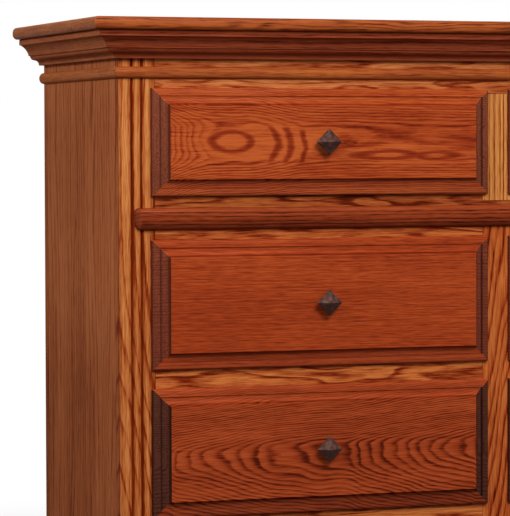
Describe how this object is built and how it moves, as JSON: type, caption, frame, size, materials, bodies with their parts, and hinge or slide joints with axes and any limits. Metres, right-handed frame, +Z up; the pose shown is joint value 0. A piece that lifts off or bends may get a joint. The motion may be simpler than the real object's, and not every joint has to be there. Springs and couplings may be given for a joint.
{
  "type": "mule chest",
  "caption": "Oak mule chest with a moulded crown and top, overlay drawers with moulded edges and pyramid knobs, a half-round waist nosing and a plinth on bracket feet.",
  "frame": {"origin": "on the floor, under the middle of the top", "axes": "+X to the right seen from the front, +Y to the back, +Z up"},
  "size_m": [1.5444, 0.517, 1.25],
  "materials": {
    "oak_frame": "satin lacquer over a warm stain",
    "oak_front": "satin lacquer over a red-brown stain",
    "oak_side": "satin lacquer over a brown stain",
    "oak_moulding": "satin lacquer over a red-brown stain",
    "maple": "clear satin",
    "poplar": "bare wood",
    "plywood": "stained veneer, matt",
    "dark_bronze": "dark oil-rubbed bronze, satin"
  },
  "bodies": {
    "case": {"top_slab": "oak_moulding", "crown_front": "oak_moulding", "crown_left": "oak_moulding", "crown_right": "oak_moulding", "bead_front": "oak_moulding", "bead_left": "oak_moulding", "bead_right": "oak_moulding", "waist_nosing": "oak_moulding", "plinth_front": "oak_moulding", "plinth_left": "oak_moulding", "plinth_right": "oak_moulding", "left_stile": "oak_frame", "right_stile": "oak_frame", "centre_stile_upper": "oak_frame", "centre_stile_lower": "oak_frame", "top_rail": "oak_frame", "waist_rail": "oak_frame", "under_waist_rail_left": "oak_frame", "under_waist_rail_right": "oak_frame", "mid_rail_left_1": "oak_frame", "mid_rail_left_2": "oak_frame", "mid_rail_right_1": "oak_frame", "mid_rail_right_2": "oak_frame", "bottom_rail": "oak_frame", "left_side_panel": "oak_side", "right_side_panel": "oak_side", "back_panel": "plywood", "dust_frame_1": "poplar", "dust_frame_2": "poplar", "dust_frame_3": "poplar", "dust_frame_4": "poplar", "top_frame": "poplar", "corner_block_front_left": "poplar", "corner_block_front_right": "poplar", "corner_block_back_left": "poplar", "corner_block_back_right": "poplar"},
    "drawer_left_1": {"drawer_front_left_1": "oak_front", "drawer_box_left_1": "maple", "drawer_knob_left_1": "dark_bronze"},
    "drawer_left_2": {"drawer_front_left_2": "oak_front", "drawer_box_left_2": "maple", "drawer_knob_left_2": "dark_bronze"},
    "drawer_left_3": {"drawer_front_left_3": "oak_front", "drawer_box_left_3": "maple", "drawer_knob_left_3": "dark_bronze"},
    "drawer_left_4": {"drawer_front_left_4": "oak_front", "drawer_box_left_4": "maple", "drawer_knob_left_4": "dark_bronze"},
    "drawer_right_1": {"drawer_front_right_1": "oak_front", "drawer_box_right_1": "maple", "drawer_knob_right_1": "dark_bronze"},
    "drawer_right_2": {"drawer_front_right_2": "oak_front", "drawer_box_right_2": "maple", "drawer_knob_right_2": "dark_bronze"},
    "drawer_right_3": {"drawer_front_right_3": "oak_front", "drawer_box_right_3": "maple", "drawer_knob_right_3": "dark_bronze"},
    "drawer_right_4": {"drawer_front_right_4": "oak_front", "drawer_box_right_4": "maple", "drawer_knob_right_4": "dark_bronze"}
  },
  "joints": [
    {"name": "drawer_left_1_slide", "type": "slide", "parent": "case", "child": "drawer_left_1", "axis": [0, -1, 0], "range_m": [0, 0.31]},
    {"name": "drawer_left_2_slide", "type": "slide", "parent": "case", "child": "drawer_left_2", "axis": [0, -1, 0], "range_m": [0, 0.31]},
    {"name": "drawer_left_3_slide", "type": "slide", "parent": "case", "child": "drawer_left_3", "axis": [0, -1, 0], "range_m": [0, 0.31]},
    {"name": "drawer_left_4_slide", "type": "slide", "parent": "case", "child": "drawer_left_4", "axis": [0, -1, 0], "range_m": [0, 0.31]},
    {"name": "drawer_right_1_slide", "type": "slide", "parent": "case", "child": "drawer_right_1", "axis": [0, -1, 0], "range_m": [0, 0.31]},
    {"name": "drawer_right_2_slide", "type": "slide", "parent": "case", "child": "drawer_right_2", "axis": [0, -1, 0], "range_m": [0, 0.31]},
    {"name": "drawer_right_3_slide", "type": "slide", "parent": "case", "child": "drawer_right_3", "axis": [0, -1, 0], "range_m": [0, 0.31]},
    {"name": "drawer_right_4_slide", "type": "slide", "parent": "case", "child": "drawer_right_4", "axis": [0, -1, 0], "range_m": [0, 0.31]}
  ]
}
